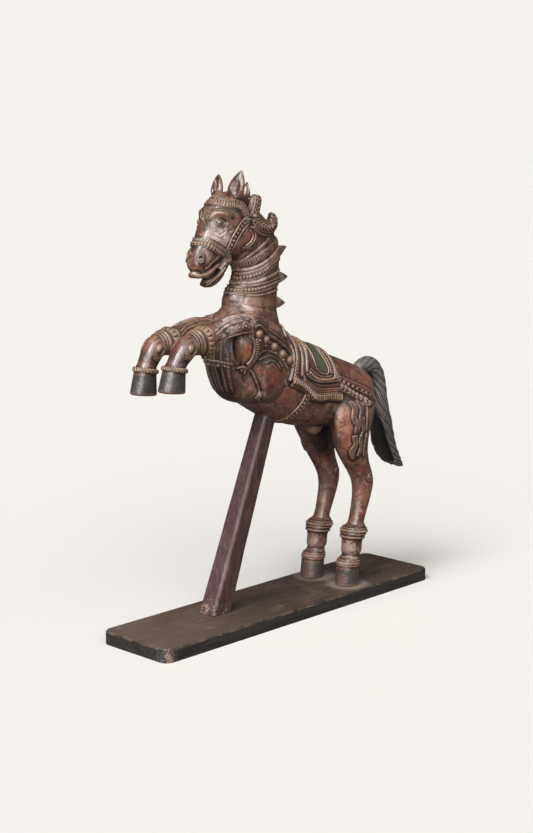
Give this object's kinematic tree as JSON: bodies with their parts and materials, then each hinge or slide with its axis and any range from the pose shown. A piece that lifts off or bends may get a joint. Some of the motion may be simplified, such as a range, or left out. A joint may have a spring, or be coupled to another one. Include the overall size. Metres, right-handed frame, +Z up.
{
  "type": "carved wooden horse figurine on a plank base",
  "caption": "Carved and painted wooden rearing horse with bridle, saddle cloth and leaf mane, held over a plank base by its hind hooves and a slanted prop under the belly.",
  "frame": {"origin": "centre of the base plank's underside, in the middle of its length and width", "axes": "+Z up; +X runs along the plank toward the tail, with the head at -X; +Y is the horse's right side"},
  "size_m": [0.7471, 0.17, 0.837],
  "materials": {
    "stained_plank": "matte dark stain, scuffed, black edges",
    "post_timber": "satin purplish-brown stain, worn on the chamfers",
    "carved_wood": "worn reddish-brown paint over wood, with red, green and ochre remains",
    "blackened_wood": "worn grey-black paint",
    "dowel_wood": "bare",
    "screw_steel": "dull zinc"
  },
  "bodies": {
    "root": {"base_board": "stained_plank", "prop_post": "post_timber", "torso": "carved_wood", "neck": "carved_wood", "head": "carved_wood", "ear_left": "carved_wood", "ear_right": "carved_wood", "crest_leaf": "carved_wood", "bow_left": "carved_wood", "bow_right": "carved_wood", "mane_tuft_top": "carved_wood", "mane_tuft_middle": "carved_wood", "mane_tuft_lower": "carved_wood", "foreleg_left_upper": "carved_wood", "foreleg_left_lower": "carved_wood", "foreleg_right_upper": "carved_wood", "foreleg_right_lower": "carved_wood", "hindleg_left": "carved_wood", "hindleg_right": "carved_wood", "tail": "blackened_wood", "neck_dowels": "dowel_wood", "head_dowels": "dowel_wood", "ear_pegs": "dowel_wood", "crest_peg": "dowel_wood", "bow_pegs": "dowel_wood", "mane_pegs": "dowel_wood", "shoulder_dowels": "dowel_wood", "knee_dowels": "dowel_wood", "hip_dowels": "dowel_wood", "tail_dowel": "dowel_wood", "base_screws": "screw_steel"}
  },
  "joints": []
}
